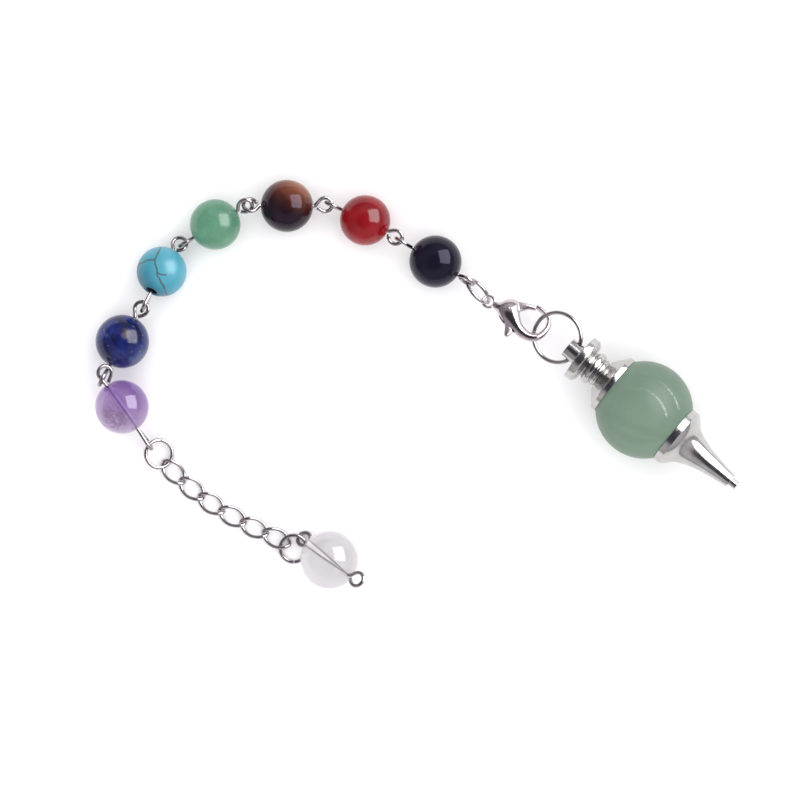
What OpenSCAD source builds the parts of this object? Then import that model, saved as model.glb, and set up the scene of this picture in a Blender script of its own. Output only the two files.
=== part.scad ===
// Pendulum pendant lying on a table: a stone ball between two turned metal caps, a large ring,
// a lobster clasp, and a strand of eight stone beads on looped pins with a short curb chain in it.
// Lengths are millimetres and angles are degrees. +Z is up and the table is at Z = 0.

/* [Stones] */
// Diameter of the ball of the drop
ball_d = 15.6; // [15.2:0.1:15.7]
// Diameter of the clear bead at the free end
quartz_d = 9.3; // [9:0.1:9.4]
// Diameter of the purple bead
amethyst_d = 8.6; // [8.4:0.1:8.7]
// Diameter of the dark blue bead
lapis_d = 8.6; // [8.4:0.1:8.7]
// Diameter of the light blue bead
turquoise_d = 8; // [7.8:0.1:8.1]
// Diameter of the green bead
aventurine_d = 8.1; // [7.9:0.1:8.2]
// Diameter of the banded brown bead
tiger_eye_d = 8.4; // [8.2:0.1:8.5]
// Diameter of the red bead
carnelian_d = 8.1; // [7.9:0.1:8.2]
// Diameter of the black bead
obsidian_d = 8.4; // [8.2:0.1:8.5]
// Diameter of the drilled hole through a bead
bore_d = 1; // [0.8:0.1:1.2]
// Diameter of the wider hole through the light blue bead
wide_bore_d = 1.3; // [1:0.1:1.6]
// Diameter of the hollow at each mouth of the wider hole
hollow_d = 3; // [2.4:0.1:3.4]

/* [Looped Pins] */
// Thickness of the pin wire
pin_wire_d = 0.62; // [0.5:0.02:0.64]
// Radius of a loop at the middle of its wire
loop_r = 1.12; // [1.08:0.01:1.14]
// Radius of the small bend where a loop leaves its pin
neck_r = 0.45; // [0.4:0.01:0.5]

/* [Curb Chain] */
// Thickness of the link wire
link_wire_d = 0.58; // [0.4:0.02:0.6]
// Length of a link at the middle of its wire
link_l = 4.68; // [4.64:0.02:4.76]
// Width of a link at the middle of its wire
link_w = 2.8; // [2.6:0.05:3]
// How far each end of a link is turned about the link's long axis
link_twist = 45; // [35:1:50]

/* [Jump Rings] */
// Thickness of the jump ring wire
ring_wire_d = 0.62; // [0.5:0.02:0.64]
// Outer diameter of the ring at the amethyst bead
first_ring_d = 5.06; // [5:0.02:5.1]
// Outer diameter of the ring at the quartz bead
last_ring_d = 4.96; // [4.94:0.02:5]
// Outer diameter of the ring in the eye of the clasp
clasp_ring_d = 5.26; // [5.2:0.02:5.3]
// Width of the cut in a jump ring
ring_cut = 0.1; // [0.05:0.01:0.3]

/* [Large Ring] */
// Outer diameter of the ring that carries the drop
large_ring_d = 8.66; // [8.6:0.02:8.7]
// Thickness of its wire
large_wire_d = 0.66; // [0.5:0.02:0.68]

/* [Drop] */
// Diameter of the post at the top of the drop
post_d = 3.24; // [3:0.02:3.4]
// Diameter of the cross hole in the post
cross_hole_d = 1.3; // [1.3:0.02:1.4]
// Diameter of the thin disc
disc_d = 7.8; // [7.2:0.1:8.2]
// Diameter of the rounded bead under the disc
collar_d = 5.58; // [5:0.02:5.8]
// Diameter of the rim that holds the ball from above
skirt_d = 10.2; // [10.1:0.05:10.6]
// Diameter of the rim that holds the ball from below
cup_d = 10.04; // [10:0.02:10.4]
// Length of the spike below its cup
spike_l = 10.5; // [9:0.1:12]
// Diameter of the spike at its lower end
spike_end_d = 2.32; // [2:0.02:2.6]
// Diameter of the short pin at the tip
tip_d = 1.44; // [1.2:0.02:1.6]
// Length of the short pin at the tip
tip_l = 1.26; // [1:0.02:1.6]
// Diameter of the hidden rod through the ball
rod_d = 1.2; // [1:0.05:1.6]

/* [Clasp] */
// Outer diameter of the eye of the clasp
eye_d = 2.34; // [2.3:0.02:2.4]
// Thickness of the eye's wire across the clasp
eye_wire_d = 0.42; // [0.36:0.02:0.44]
// Thickness of the lever
lever_t = 0.8; // [0.6:0.05:0.9]
// Diameter of the rivet that the lever turns on
rivet_d = 0.5; // [0.4:0.02:0.6]

/* [Hidden] */
// How smooth round edges are drawn; the beads, pins and turned parts are true round solids.
$fn = 48;

// The gaps that let the pieces touch, turn or slide.
gap = 0.05;
seat_gap = 0.02;
cut_gap = 0.08;
least_cut = 0.32;
full_turn = 360;
half_turn = 180;
quarter_turn = 90;
joint = 0.02;
hair = 0.004;

// Colours of the metal.
plated = [0.8, 0.8, 0.82];
wire_grey = [0.78, 0.78, 0.8];
dull_grey = [0.7, 0.7, 0.72];

// Where the whole piece sits so that the origin is at the bottom centre of its box.
shift_x = -0.107;
shift_y = 0.205;

// The strand as it lies, one point for each bead.
// Columns: x, y, heading of the pin, rise of the pin. The height is the bead's own radius.
quartz_at = [-13.87, -28.29, -37.1, 34.2];
amethyst_at = [-47.06, -3.83, 125.2, 16];
lapis_at = [-46.98, 6.64, 62.9, 2.7];
turquoise_at = [-40.69, 17.84, 62.9, -20];
aventurine_at = [-32.13, 25.37, 30.9, 12.2];
tiger_eye_at = [-20.66, 28.33, -0.8, -9.2];
carnelian_at = [-8.13, 26.03, -24.7, 7.3];
obsidian_at = [3.11, 19.43, -30.8, -0.8];

// The two loops of each pin, first the one that the pin heads for, then the one behind it.
// Columns: roll of the loop about the pin, half of the angle between its legs, sideways bend.
quartz_loops = [[0, 46, 9], [4, 49.5, -6]];
amethyst_loops = [[11.5, 31, -26.5], [96.5, 22.5, -1]];
lapis_loops = [[-12, 43, -10.5], [93, 28, 36]];
turquoise_loops = [[-12.5, 49, -17.5], [93, 30, -27]];
aventurine_loops = [[27, 50, 2], [91.5, 44.5, -12]];
tiger_eye_loops = [[1, 41, 9.5], [26.5, 50, -1.5]];
carnelian_loops = [[16, 50.5, -17.5], [92.5, 42.5, -8]];
obsidian_loops = [[71.5, 49.5, -4.5], [89, 41, 4.5]];

// The curb links as they lie. Columns: x, y, heading.
links_at = [
    [-38.87, -14.28, -46.7],
    [-35.95, -16.93, -39.8],
    [-32.81, -19.33, -35],
    [-29.44, -21.37, -28.5],
    [-25.95, -23.2, -25.6],
    [-22.39, -24.86, -26.1]
];

// The jump rings as they lie. Columns: x, y, z, tilt from flat, heading of the tilt, place of the cut.
first_ring_at = [-41.21, -11.36, 1.37, 19.8, -7, 90];
last_ring_at = [-19.6, -26.55, 0.75, -10.7, 70.8, 200];
clasp_ring_at = [9.96, 14.67, 3.76, 67.1, 41.9, 160];

// The cross hole of the drop, the heading of the drop and the lie of the large ring.
hole_at = [25.36, 4.85, 6.54];
drop_heading = -39.6;
ring_heading = -41;
ring_dip = 12;
ring_roll = 17;

// The eye of the clasp and the lie of the clasp.
eye_at = [11.62, 13.02, 3.85];
clasp_heading = -25;
clasp_rise = 7;
clasp_roll = -18;

// The drop, drawn with its axis along X from the post to the tip. Distances are from the ball's centre.
ball_r = ball_d / 2;
hole_back = ball_r + 6.6;
post_end = hole_back + 1.45;
post_edge = 0.14;
disc_back = hole_back - 0.68;
disc_edge = disc_back - 0.38;
disc_bevel = 0.08;
disc_t = 0.85;
disc_front = disc_edge - disc_t;
disc_round = 1;
throat_d = 4.36;
collar_mid = disc_front - 2.02;
collar_half = 0.76;
round_steps = 6;
round_start = 4;
rim_edge = 0.06;
skirt_mouth = 6.02;
skirt_band = 0.84;
skirt_shoulder = 0.1;
skirt_top = skirt_mouth + 3.26;
cup_mouth = 6.09;
cup_band = 1.3;
cup_slope = 0.2;
cup_shoulder = 0.12;
cup_end = cup_mouth + cup_band;
rod_depth = 2;
rod_back = ball_r + rod_depth;
drop_rise = asin((ball_r - hole_at[2]) / hole_back);
// The hollow curve of the skirt below the collar. Columns: distance from its top, rise above the throat.
skirt_curve = [[0, 0], [0.3, 0.36], [0.9, 1.04]];
// The hollow curve of the spike. Columns: share of the spike's length, share of the flare that is left.
spike_curve = [
    [0.05, 0.86], [0.14, 0.6], [0.24, 0.44], [0.36, 0.32],
    [0.5, 0.215], [0.66, 0.13], [0.83, 0.06], [1, 0]
];

// The clasp, drawn with its eye at the origin and its long axis on X.
pivot = [3.46, 0.06];
body_half_t = 1.36;
// Cross sections from the eye round the hook to its nose.
// Columns: x and y of the upper or inner edge, x and y of the lower or outer edge, half thickness.
hook_sections = [
    [0.92, 0.46, 0.92, -0.52, 0.4],
    [1.45, 0.6, 1.4, -0.7, 0.55],
    [1.9, 0.75, 1.85, -0.88, 0.85],
    [2.35, 1.4, 2.45, -1.4, 1.15],
    [3, 1.92, 3.15, -1.95, 1.32],
    [3.64, 2.17, 3.85, -2.27, 1.38],
    [4.25, 2.08, 4.55, -2.5, 1.36],
    [4.8, 1.4, 5.1, -2.7, 1.26],
    [5.3, 0.63, 5.6, -2.86, 1.15],
    [5.8, -0.2, 6.15, -3.02, 1.02],
    [6.45, -1.05, 6.8, -3.18, 0.9],
    [7.3, -1.5, 7.6, -3.27, 0.8],
    [8.1, -1.72, 8.45, -3.22, 0.72],
    [8.9, -1.6, 9.35, -2.9, 0.66],
    [9.5, -1.24, 10.1, -2.28, 0.62],
    [9.82, -0.5, 10.6, -1.25, 0.6],
    [9.94, 0.2, 10.82, -0.05, 0.59],
    [9.85, 0.95, 10.72, 0.85, 0.58],
    [9.52, 1.5, 10.2, 1.7, 0.58],
    [9.05, 1.78, 9.5, 2.35, 0.6],
    [8.4, 1.97, 8.55, 2.76, 0.62],
    [7.9, 2.1, 7.9, 2.92, 0.64],
    [7.52, 2.22, 7.12, 2.86, 0.62]
];
// The outline of the room that the lever swings in.
slot_points = [
    [2.66, -5], [2.6, -0.9], [2.55, 0.1], [2.6, 0.65], [3.2, 1.6], [3.9, 3],
    [6.6, 3], [6.6, -0.3], [5.7, -0.75], [5.1, -1.6], [5.98, -2.85], [5.98, -5]
];
// The outline of the lever, from the top of its tip round by the thumb tab.
lever_points = [
    [7.04, 2.66], [7.28, 2.34], [7.43, 2], [6.3, 1.62], [5.3, 0.75], [4.55, -0.5], [4.75, -1.7],
    [5.62, -2.95], [5.5, -3.55], [5.3, -4.02], [5.02, -4.22], [4.68, -4.02], [4.1, -2.5], [3.3, -1.2],
    [2.75, -0.25], [2.95, 0.7], [3.3, 1.4], [3.62, 2.08], [4.25, 2.03], [4.5, 2.12]
];

// Sets a piece down in its place on the table.
module on_table() {
    translate([shift_x, shift_y, 0]) children();
}

// Puts a bead or its pin where it lies, with the pin's heading along X.
module at_bead(place, bead_d) {
    on_table() translate([place[0], place[1], bead_d / 2]) rotate([0, -place[3], place[2]]) children();
}

// A stone bead drilled through along X.
module bead(bead_d, hole_d) {
    rotate([0, quarter_turn, 0])
        difference() {
            sphere(d = bead_d);
            cylinder(h = 2 * bead_d, d = hole_d, center = true);
        }
}

// A bend of round wire that starts at the origin, heads along X and turns left or, for a minus turn, right.
module wire_bend(radius, turn, wire_d) {
    side = turn > 0 ? 0 : half_turn;
    rotate([side, 0, 0])
        translate([0, radius, 0])
            rotate([0, 0, -quarter_turn])
                rotate_extrude(angle = abs(turn))
                    translate([radius, 0]) circle(d = wire_d);
}

// A straight run of the same wire from the origin along X. It is finer by a hair than the bends and
// reaches a little way into them, so that the run and the bend join into one solid.
module straight(length, wire_d) {
    translate([-joint, 0, 0])
        rotate([0, quarter_turn, 0])
            cylinder(h = length + 2 * joint, d = wire_d - hair);
}

// Straight runs and bends of wire, each starting where the last one ends.
// A step is [length, bend radius, turn]; a bend has a length of zero.
module wire_run(steps, wire_d, i = 0) {
    if (i < len(steps)) {
        length = steps[i][0];
        radius = steps[i][1];
        turn = steps[i][2];
        if (length > 0) {
            straight(length, wire_d);
            translate([length, 0, 0]) wire_run(steps, wire_d, i + 1);
        } else {
            wire_bend(radius, turn, wire_d);
            translate([radius * sin(abs(turn)), sign(turn) * radius * (1 - cos(turn)), 0])
                rotate([0, 0, turn])
                    wire_run(steps, wire_d, i + 1);
        }
    }
}

// Length of a loop's straight leg, which puts the loop in line with its pin.
function leg_l(spread) = (loop_r * cos(spread) - neck_r * (1 - cos(spread))) / sin(spread);

// How much shorter the second leg is, so that its cut end stays clear of the first leg.
function leg_cut(spread) = max(
    least_cut,
    ((pin_wire_d / 2 + cut_gap + pin_wire_d / 2 * cos(2 * spread)) / (2 * cos(spread))
        - neck_r * (1 - cos(spread))) / sin(spread)
);

// A teardrop loop at the end of a pin.
module loop(shape) {
    spread = shape[1];
    rotate([shape[0], 0, 0])
        wire_run(
            [
                [0, neck_r, spread + shape[2]],
                [leg_l(spread), 0, 0],
                [0, loop_r, -half_turn - 2 * spread],
                [leg_l(spread) - leg_cut(spread), 0, 0]
            ],
            pin_wire_d
        );
}

// A straight pin with a loop at each end.
module looped_pin(loops, bead_d) {
    reach = bead_d / 2 + gap;
    translate([-reach, 0, 0]) straight(2 * reach, pin_wire_d);
    translate([reach, 0, 0]) loop(loops[0]);
    rotate([0, 0, half_turn]) translate([reach, 0, 0]) loop(loops[1]);
}

// A round ring of wire with a narrow cut in it.
module cut_ring(outer_d, wire_d, cut) {
    radius = (outer_d - wire_d) / 2;
    cut_angle = asin(cut / radius);
    rotate([0, 0, cut_angle / 2])
        rotate_extrude(angle = full_turn - cut_angle)
            translate([radius, 0]) circle(d = wire_d);
}

// Puts a jump ring where it lies.
module at_ring(place) {
    on_table()
        translate([place[0], place[1], place[2]])
            rotate([0, 0, place[4]])
                rotate([0, place[3], 0])
                    rotate([0, 0, place[5]])
                        children();
}

function unit(v) = v / norm(v);

// A point on the middle line of a curb link, at an angle round it.
function link_point(t) = [
    link_l / 2 * cos(t),
    link_w / 2 * sin(t) * cos(link_twist * cos(t)),
    -link_w / 2 * sin(t) * sin(link_twist * cos(t))
];
function link_ahead(t) = unit(link_point(t + 1) - link_point(t - 1));
function link_face(t) = [0, sin(link_twist * cos(t)), cos(link_twist * cos(t))];
function link_side(t) = unit(cross(link_face(t), link_ahead(t)));

// The number of sides of a link round its length and round its wire.
link_sides = 16;
wire_sides = 6;

// One curb link: a twisted oval of wire.
module curb_link(place) {
    wire_r = link_wire_d / 2;
    points = [
        for (i = [0 : link_sides - 1])
            let (t = i * full_turn / link_sides)
            let (side = link_side(t))
            let (up = cross(link_ahead(t), side))
            for (j = [0 : wire_sides - 1])
                let (a = j * full_turn / wire_sides)
                link_point(t) + wire_r * (side * cos(a) + up * sin(a))
    ];
    faces = [
        for (i = [0 : link_sides - 1])
            let (n = (i + 1) % link_sides)
            for (j = [0 : wire_sides - 1])
                let (m = (j + 1) % wire_sides)
                for (half = [0, 1])
                    half == 0
                        ? [i * wire_sides + j, i * wire_sides + m, n * wire_sides + m]
                        : [i * wire_sides + j, n * wire_sides + m, n * wire_sides + j]
    ];
    lowest = min([for (p = points) p[2]]);
    on_table()
        translate([place[0], place[1], seat_gap - lowest])
            rotate([0, 0, place[2]])
                polyhedron(points = points, faces = faces, convexity = 6);
}

// Puts a piece of the drop in place: the drop's axis along X, its ball's centre at the origin.
module at_drop() {
    on_table()
        translate(hole_at)
            rotate([0, -drop_rise, drop_heading])
                translate([hole_back, 0, 0])
                    children();
}

// A turned shape about X from points of [distance along X, radius].
module turned(profile) {
    rotate([0, quarter_turn, 0])
        rotate_extrude()
            polygon([for (p = profile) [p[1], p[0]]]);
}

module ball_shape() {
    bead(ball_d, rod_d + 2 * gap);
}

module rod_shape() {
    rotate([0, quarter_turn, 0])
        cylinder(h = 2 * rod_back - 2 * gap, d = rod_d, center = true);
}

// The hollow seat for the ball and the blind hole for the rod.
module ball_seat() {
    rotate([0, quarter_turn, 0]) {
        sphere(d = ball_d + 2 * seat_gap);
        cylinder(h = 2 * rod_back, d = rod_d + 2 * seat_gap, center = true);
    }
}

// Points of a rounded bulge of a turned shape, from one angle of its round to another.
function bulge(middle, half_l, base_r, rise, from, to) = [
    for (i = [0 : round_steps])
        let (a = from + (to - from) * i / round_steps)
        [middle - half_l * cos(a), base_r + rise * sin(a)]
];

module upper_cap_shape() {
    post_r = post_d / 2;
    disc_r = disc_d / 2;
    throat_r = throat_d / 2;
    collar_rise = (collar_d - throat_d) / 2;
    skirt_r = skirt_d / 2;
    band_top = skirt_mouth + skirt_band;
    post = [
        [-post_end, 0],
        [-post_end, post_r - post_edge],
        [-post_end + post_edge, post_r],
        [-disc_back, post_r]
    ];
    disc = concat(
        [[-disc_edge - disc_bevel, disc_r - disc_bevel], [-disc_edge, disc_r]],
        bulge(-disc_front, disc_round, throat_r, disc_r - throat_r, quarter_turn, half_turn - round_start)
    );
    collar = bulge(-collar_mid, collar_half, throat_r, collar_rise, round_start, half_turn);
    skirt = [for (c = skirt_curve) [-skirt_top + c[0], throat_r + c[1]]];
    band = [
        [-band_top - skirt_shoulder, skirt_r - skirt_shoulder],
        [-band_top + rim_edge, skirt_r],
        [-skirt_mouth - rim_edge, skirt_r],
        [-skirt_mouth, skirt_r - rim_edge],
        [-skirt_mouth, 0]
    ];
    difference() {
        turned(concat(post, disc, collar, skirt, band));
        ball_seat();
        translate([-hole_back, 0, 0])
            rotate([ring_roll, 0, 0])
                rotate([quarter_turn, 0, 0])
                    cylinder(h = 2 * post_d, d = cross_hole_d, center = true);
    }
}

module lower_cap_shape() {
    cup_r = cup_d / 2;
    spike_r = spike_end_d / 2;
    spike_end = cup_end + spike_l;
    cup = [
        [cup_mouth, 0],
        [cup_mouth, cup_r - rim_edge],
        [cup_end - cup_slope, cup_r],
        [cup_end, cup_r - cup_shoulder]
    ];
    spike = [for (c = spike_curve) [cup_end + spike_l * c[0], spike_r + (cup_r - spike_r) * c[1]]];
    tip = [
        [spike_end, tip_d / 2],
        [spike_end + tip_l, tip_d / 2],
        [spike_end + tip_l, 0]
    ];
    difference() {
        turned(concat(cup, spike, tip));
        ball_seat();
    }
}

// The large ring, threaded through the cross hole and lying over and under the hook of the clasp.
module large_ring_shape() {
    radius = (large_ring_d - large_wire_d) / 2;
    back = radius - (cross_hole_d - large_wire_d) / 2 + 2 * gap;
    on_table()
        translate(hole_at)
            rotate([0, 0, ring_heading])
                rotate([0, -ring_dip, 0])
                    rotate([ring_roll, 0, 0])
                        translate([-back, 0, 0])
                            rotate_extrude()
                                translate([radius, 0]) circle(d = large_wire_d);
}

// Puts a piece of the clasp in place.
module at_clasp() {
    on_table()
        translate(eye_at)
            rotate([0, -clasp_rise, clasp_heading])
                rotate([clasp_roll, 0, 0])
                    children();
}

// The number of sides of a section of the clasp's hook.
hook_sides = 12;

// The solid hook, swept through its cross sections.
module hook_solid() {
    count = len(hook_sections);
    points = [
        for (s = hook_sections)
            let (middle = [(s[0] + s[2]) / 2, (s[1] + s[3]) / 2, 0])
            let (half = [(s[0] - s[2]) / 2, (s[1] - s[3]) / 2, 0])
            for (j = [0 : hook_sides - 1])
                let (a = (j + 0.5) * full_turn / hook_sides)
                middle + half * cos(a) + [0, 0, s[4] * sin(a)]
    ];
    sides = [
        for (i = [0 : count - 2])
            for (j = [0 : hook_sides - 1])
                let (m = (j + 1) % hook_sides)
                for (half = [0, 1])
                    half == 0
                        ? [i * hook_sides + j, (i + 1) * hook_sides + m, i * hook_sides + m]
                        : [i * hook_sides + j, (i + 1) * hook_sides + j, (i + 1) * hook_sides + m]
    ];
    first_end = [[for (j = [0 : hook_sides - 1]) j]];
    last_end = [[for (j = [hook_sides - 1 : -1 : 0]) (count - 1) * hook_sides + j]];
    polyhedron(points = points, faces = concat(sides, first_end, last_end), convexity = 6);
}

module clasp_body_shape() {
    eye_r = (eye_d - eye_wire_d) / 2;
    difference() {
        union() {
            hook_solid();
            rotate_extrude()
                translate([eye_r, 0]) circle(d = eye_wire_d);
        }
        linear_extrude(height = lever_t + 2 * gap, center = true)
            polygon(slot_points);
        translate([pivot[0], pivot[1], 0])
            cylinder(h = 4 * body_half_t, d = rivet_d + 2 * seat_gap, center = true);
    }
}

module lever_shape() {
    difference() {
        linear_extrude(height = lever_t, center = true)
            polygon(lever_points);
        translate([pivot[0], pivot[1], 0])
            cylinder(h = 2 * lever_t, d = rivet_d + 2 * gap, center = true);
    }
}

module rivet_shape() {
    translate([pivot[0], pivot[1], 0])
        cylinder(h = 2 * body_half_t, d = rivet_d, center = true);
}

// The pieces.
module ball() {
    color([0.62, 0.72, 0.64]) at_drop() ball_shape();
}
module upper_cap() {
    color(plated) at_drop() upper_cap_shape();
}
module lower_cap() {
    color(plated) at_drop() lower_cap_shape();
}
module ball_rod() {
    color(dull_grey) at_drop() rod_shape();
}
module large_ring() {
    color(plated) large_ring_shape();
}
module clasp_body() {
    color(wire_grey) at_clasp() clasp_body_shape();
}
module clasp_lever() {
    color(plated) at_clasp() lever_shape();
}
module clasp_rivet() {
    color(dull_grey) at_clasp() rivet_shape();
}
module clasp_ring() {
    color(plated) at_ring(clasp_ring_at) cut_ring(clasp_ring_d, ring_wire_d, ring_cut);
}
module obsidian_bead() {
    color([0.06, 0.06, 0.07]) at_bead(obsidian_at, obsidian_d) bead(obsidian_d, bore_d);
}
module carnelian_bead() {
    color([0.5, 0.08, 0.06]) at_bead(carnelian_at, carnelian_d) bead(carnelian_d, bore_d);
}
module tiger_eye_bead() {
    color([0.36, 0.2, 0.1]) at_bead(tiger_eye_at, tiger_eye_d) bead(tiger_eye_d, bore_d);
}
module aventurine_bead() {
    color([0.4, 0.62, 0.48]) at_bead(aventurine_at, aventurine_d) bead(aventurine_d, bore_d);
}
module turquoise_bead() {
    color([0.38, 0.68, 0.76])
        at_bead(turquoise_at, turquoise_d)
            difference() {
                bead(turquoise_d, wide_bore_d);
                hollow_deep = turquoise_d / 2 - sqrt(pow(turquoise_d / 2, 2) - pow(hollow_d / 2, 2));
                for (end = [0, half_turn])
                    rotate([0, quarter_turn, end])
                        translate([0, 0, turquoise_d / 2 - 2 * hollow_deep])
                            cylinder(h = 2 * hollow_deep, d1 = 0, d2 = 2 * hollow_d);
            }
}
module lapis_bead() {
    color([0.14, 0.18, 0.45]) at_bead(lapis_at, lapis_d) bead(lapis_d, bore_d);
}
module amethyst_bead() {
    color([0.6, 0.48, 0.72]) at_bead(amethyst_at, amethyst_d) bead(amethyst_d, bore_d);
}
module quartz_bead() {
    color([0.88, 0.87, 0.88]) at_bead(quartz_at, quartz_d) bead(quartz_d, bore_d);
}
module obsidian_pin() {
    color(wire_grey) at_bead(obsidian_at, obsidian_d) looped_pin(obsidian_loops, obsidian_d);
}
module carnelian_pin() {
    color(wire_grey) at_bead(carnelian_at, carnelian_d) looped_pin(carnelian_loops, carnelian_d);
}
module tiger_eye_pin() {
    color(wire_grey) at_bead(tiger_eye_at, tiger_eye_d) looped_pin(tiger_eye_loops, tiger_eye_d);
}
module aventurine_pin() {
    color(wire_grey) at_bead(aventurine_at, aventurine_d) looped_pin(aventurine_loops, aventurine_d);
}
module turquoise_pin() {
    color(wire_grey) at_bead(turquoise_at, turquoise_d) looped_pin(turquoise_loops, turquoise_d);
}
module lapis_pin() {
    color(wire_grey) at_bead(lapis_at, lapis_d) looped_pin(lapis_loops, lapis_d);
}
module amethyst_pin() {
    color(wire_grey) at_bead(amethyst_at, amethyst_d) looped_pin(amethyst_loops, amethyst_d);
}
module quartz_pin() {
    color(wire_grey) at_bead(quartz_at, quartz_d) looped_pin(quartz_loops, quartz_d);
}
module first_ring() {
    color(plated) at_ring(first_ring_at) cut_ring(first_ring_d, ring_wire_d, ring_cut);
}
module last_ring() {
    color(plated) at_ring(last_ring_at) cut_ring(last_ring_d, ring_wire_d, ring_cut);
}
module link_1() {
    color(wire_grey) curb_link(links_at[0]);
}
module link_2() {
    color(wire_grey) curb_link(links_at[1]);
}
module link_3() {
    color(wire_grey) curb_link(links_at[2]);
}
module link_4() {
    color(wire_grey) curb_link(links_at[3]);
}
module link_5() {
    color(wire_grey) curb_link(links_at[4]);
}
module link_6() {
    color(wire_grey) curb_link(links_at[5]);
}

ball();
upper_cap();
lower_cap();
ball_rod();
large_ring();
clasp_body();
clasp_lever();
clasp_rivet();
clasp_ring();
obsidian_bead();
carnelian_bead();
tiger_eye_bead();
aventurine_bead();
turquoise_bead();
lapis_bead();
amethyst_bead();
quartz_bead();
obsidian_pin();
carnelian_pin();
tiger_eye_pin();
aventurine_pin();
turquoise_pin();
lapis_pin();
amethyst_pin();
quartz_pin();
first_ring();
link_1();
link_2();
link_3();
link_4();
link_5();
link_6();
last_ring();
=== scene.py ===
"""A pendulum pendant on a pale table: a stone ball between turned caps, a clasp and a strand of beads."""
from math import asin, cos, degrees, pi, radians, sin, sqrt

import bmesh
import bpy
from mathutils import Matrix, Vector
from mathutils.geometry import interpolate_bezier


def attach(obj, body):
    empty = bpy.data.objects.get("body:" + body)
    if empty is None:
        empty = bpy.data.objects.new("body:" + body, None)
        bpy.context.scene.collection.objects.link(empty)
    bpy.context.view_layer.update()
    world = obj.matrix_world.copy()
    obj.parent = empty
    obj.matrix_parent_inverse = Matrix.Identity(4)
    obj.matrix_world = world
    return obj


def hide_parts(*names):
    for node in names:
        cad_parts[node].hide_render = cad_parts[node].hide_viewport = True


bl_info = {
    "name": "Pendulum Pendant",
    "version": (1, 0, 0),
    "blender": (4, 5, 0),
    "location": "View3D > Sidebar > Pendant",
    "description": "Models a pendulum pendant: beads on looped pins, curb links, a lobster clasp and a drop",
    "category": "Add Mesh",
}

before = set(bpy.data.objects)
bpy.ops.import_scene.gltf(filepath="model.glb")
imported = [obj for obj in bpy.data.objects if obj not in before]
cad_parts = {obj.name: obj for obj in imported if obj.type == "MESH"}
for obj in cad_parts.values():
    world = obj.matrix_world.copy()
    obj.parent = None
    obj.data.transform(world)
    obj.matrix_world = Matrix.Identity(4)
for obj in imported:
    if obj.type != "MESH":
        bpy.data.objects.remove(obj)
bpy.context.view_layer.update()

# Lengths below are millimetres in the part's own frame and are turned to metres as a piece is finished.
MM = 0.001
FULL_TURN = 2 * pi
PENDANT = "pendant"
LEVER = "lever"

# The photo's width in pixels, millimetres to a pixel, and the pixel that the places below are measured from.
PHOTO_SIDE = 800
PIXEL = 0.16
PLACES_FROM = (416, 383)
# Moves those places so that the origin is at the bottom centre of the part's box.
SHIFT = Vector((-0.107, 0.205, 0))
# How high the beads' middles are on the whole, and how many metres the camera hangs above them.
BEAD_LEVEL = 4
CAMERA_UP = 1.5

# Gaps: between a bead and its loop, round the ball, at a loop's cut end, under a link, round the large ring.
GAP = 0.05
SEAT_GAP = 0.02
CUT_GAP = 0.08
LINK_GAP = 0.02
RING_GAP = 0.1
# The least that is left open at a loop's cut end.
LEAST_CUT = 0.32
# Points of a mesh that lie closer than this are one.
SAME_POINT = 0.0005
# Degrees to a step of a bend in the wire.
BEND_STEP = 7

# How each bead lies: x, y, heading of its pin, rise of its pin.
BEAD_LIES = {
    "quartz": (-13.87, -28.29, -37.1, 34.2),
    "amethyst": (-47.06, -3.83, 125.2, 16),
    "lapis": (-46.98, 6.64, 62.9, 2.7),
    "turquoise": (-40.69, 17.84, 62.9, -20),
    "aventurine": (-32.13, 25.37, 30.9, 12.2),
    "tiger_eye": (-20.66, 28.33, -0.8, -9.2),
    "carnelian": (-8.13, 26.03, -24.7, 7.3),
    "obsidian": (3.11, 19.43, -30.8, -0.8),
}
# The two loops of each pin: roll about the pin, half of the angle between the legs, sideways bend.
PIN_LOOPS = {
    "quartz": ((0, 46, 9), (4, 49.5, -6)),
    "amethyst": ((11.5, 31, -26.5), (96.5, 22.5, -1)),
    "lapis": ((-12, 43, -10.5), (93, 28, 36)),
    "turquoise": ((-12.5, 49, -17.5), (93, 30, -27)),
    "aventurine": ((27, 50, 2), (91.5, 44.5, -12)),
    "tiger_eye": ((1, 41, 9.5), (26.5, 50, -1.5)),
    "carnelian": ((16, 50.5, -17.5), (92.5, 42.5, -8)),
    "obsidian": ((71.5, 49.5, -4.5), (89, 41, 4.5)),
}
BEAD_DIAMETERS = {
    "quartz": 9.3, "amethyst": 8.6, "lapis": 8.6, "turquoise": 8.0,
    "aventurine": 8.1, "tiger_eye": 8.4, "carnelian": 8.1, "obsidian": 8.4,
}
# The one bead whose hole is wider than its pin: the hole, and the hollow at its mouths.
WIDE_BORES = {"turquoise": (1.9, 2.7)}
# How each curb link lies: x, y, heading.
LINK_LIES = (
    (-38.87, -14.28, -46.7), (-35.95, -16.93, -39.8), (-32.81, -19.33, -35),
    (-29.44, -21.37, -28.5), (-25.95, -23.2, -25.6), (-22.39, -24.86, -26.1),
)
# How each jump ring lies: x, y, z, tilt from flat, heading of the tilt, place of the cut.
RING_LIES = {
    "first_ring": (-41.21, -11.36, 1.37, 19.8, -7, 90),
    "last_ring": (-19.6, -26.55, 0.75, -10.7, 70.8, 200),
    "clasp_ring": (9.96, 14.67, 3.76, 67.1, 41.9, 160),
}
RING_DIAMETERS = {"first_ring": 5.06, "last_ring": 4.96, "clasp_ring": 5.26}

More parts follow.
